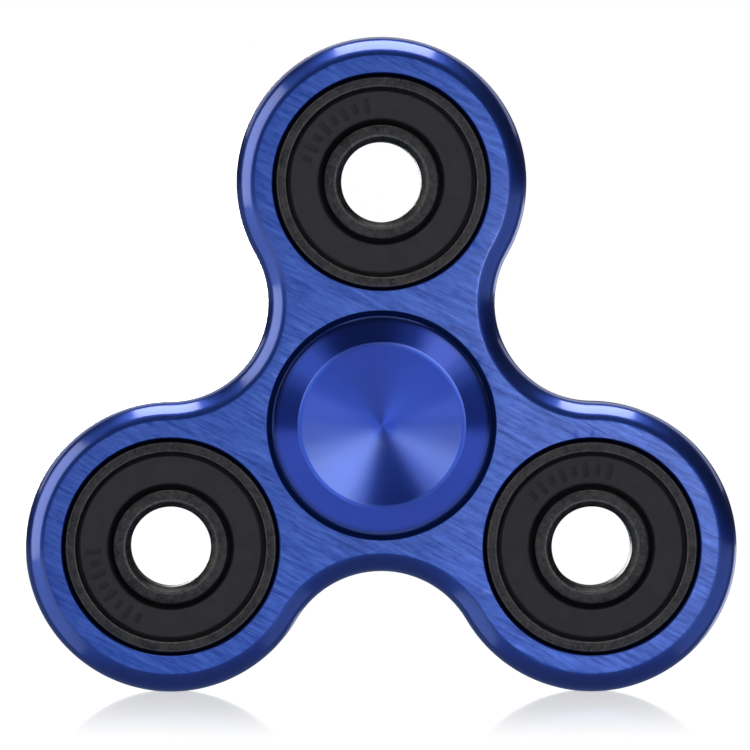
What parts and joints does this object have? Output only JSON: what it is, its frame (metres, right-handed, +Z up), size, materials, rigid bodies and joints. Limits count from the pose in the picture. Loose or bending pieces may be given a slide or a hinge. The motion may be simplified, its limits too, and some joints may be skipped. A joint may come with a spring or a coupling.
{
  "type": "fidget spinner",
  "caption": "Hand-held fidget spinner: a rounded plate with a sealed ball bearing in each lobe, spinning between dished finger caps on a centre bearing.",
  "frame": {"origin": "the spin axis, at the middle of the plate's thickness", "axes": "+Y along the spin axis to the back, the pictured face towards -Y; +Z up through one lobe, so the spinner stands on the other two; +X to the right seen from the front"},
  "size_m": [0.072, 0.0134, 0.0663],
  "materials": {
    "frame_blue": "blue anodised, brushed faces, polished rounded edges",
    "cap_blue": "blue anodised, finely turned",
    "bearing_steel": "black oxide steel, rubbed lighter along its edges",
    "seal_rubber": "moulded satin rubber",
    "cage_steel": "stamped sheet",
    "ball_steel": "polished"
  },
  "bodies": {
    "frame": {"spinner_frame": "frame_blue", "center_bearing_outer_ring": "bearing_steel", "center_bearing_seal_front": "seal_rubber", "center_bearing_seal_back": "seal_rubber", "top_bearing_outer_ring": "bearing_steel", "top_bearing_seal_front": "seal_rubber", "top_bearing_seal_back": "seal_rubber", "left_bearing_outer_ring": "bearing_steel", "left_bearing_seal_front": "seal_rubber", "left_bearing_seal_back": "seal_rubber", "right_bearing_outer_ring": "bearing_steel", "right_bearing_seal_front": "seal_rubber", "right_bearing_seal_back": "seal_rubber"},
    "caps": {"front_cap": "cap_blue", "back_cap": "cap_blue", "center_bearing_inner_ring": "bearing_steel"},
    "center_balls": {"center_bearing_cage_front": "cage_steel", "center_bearing_cage_back": "cage_steel", "center_bearing_ball_1": "ball_steel", "center_bearing_ball_2": "ball_steel", "center_bearing_ball_3": "ball_steel", "center_bearing_ball_4": "ball_steel", "center_bearing_ball_5": "ball_steel", "center_bearing_ball_6": "ball_steel", "center_bearing_ball_7": "ball_steel"},
    "top_inner": {"top_bearing_inner_ring": "bearing_steel"},
    "top_balls": {"top_bearing_cage_front": "cage_steel", "top_bearing_cage_back": "cage_steel", "top_bearing_ball_1": "ball_steel", "top_bearing_ball_2": "ball_steel", "top_bearing_ball_3": "ball_steel", "top_bearing_ball_4": "ball_steel", "top_bearing_ball_5": "ball_steel", "top_bearing_ball_6": "ball_steel", "top_bearing_ball_7": "ball_steel"},
    "left_inner": {"left_bearing_inner_ring": "bearing_steel"},
    "left_balls": {"left_bearing_cage_front": "cage_steel", "left_bearing_cage_back": "cage_steel", "left_bearing_ball_1": "ball_steel", "left_bearing_ball_2": "ball_steel", "left_bearing_ball_3": "ball_steel", "left_bearing_ball_4": "ball_steel", "left_bearing_ball_5": "ball_steel", "left_bearing_ball_6": "ball_steel", "left_bearing_ball_7": "ball_steel"},
    "right_inner": {"right_bearing_inner_ring": "bearing_steel"},
    "right_balls": {"right_bearing_cage_front": "cage_steel", "right_bearing_cage_back": "cage_steel", "right_bearing_ball_1": "ball_steel", "right_bearing_ball_2": "ball_steel", "right_bearing_ball_3": "ball_steel", "right_bearing_ball_4": "ball_steel", "right_bearing_ball_5": "ball_steel", "right_bearing_ball_6": "ball_steel", "right_bearing_ball_7": "ball_steel"}
  },
  "joints": [
    {"name": "cap_spin", "type": "hinge", "parent": "frame", "child": "caps", "pos_m": [0, 0, 0], "axis": [0, -1, 0], "continuous": true},
    {"name": "center_ball_orbit", "type": "hinge", "parent": "frame", "child": "center_balls", "pos_m": [0, 0, 0], "axis": [0, -1, 0], "continuous": true},
    {"name": "top_inner_spin", "type": "hinge", "parent": "frame", "child": "top_inner", "pos_m": [0, 0, 0.0246], "axis": [0, -1, 0], "continuous": true},
    {"name": "top_ball_orbit", "type": "hinge", "parent": "frame", "child": "top_balls", "pos_m": [0, 0, 0.0246], "axis": [0, -1, 0], "continuous": true},
    {"name": "left_inner_spin", "type": "hinge", "parent": "frame", "child": "left_inner", "pos_m": [-0.0213, 0, -0.0123], "axis": [0, -1, 0], "continuous": true},
    {"name": "left_ball_orbit", "type": "hinge", "parent": "frame", "child": "left_balls", "pos_m": [-0.0213, 0, -0.0123], "axis": [0, -1, 0], "continuous": true},
    {"name": "right_inner_spin", "type": "hinge", "parent": "frame", "child": "right_inner", "pos_m": [0.0213, 0, -0.0123], "axis": [0, -1, 0], "continuous": true},
    {"name": "right_ball_orbit", "type": "hinge", "parent": "frame", "child": "right_balls", "pos_m": [0.0213, 0, -0.0123], "axis": [0, -1, 0], "continuous": true}
  ],
  "couplings": [
    {"joint": "center_ball_orbit", "follows": "cap_spin", "ratio": 0.3677},
    {"joint": "top_ball_orbit", "follows": "top_inner_spin", "ratio": 0.3677},
    {"joint": "left_ball_orbit", "follows": "left_inner_spin", "ratio": 0.3677},
    {"joint": "right_ball_orbit", "follows": "right_inner_spin", "ratio": 0.3677}
  ]
}
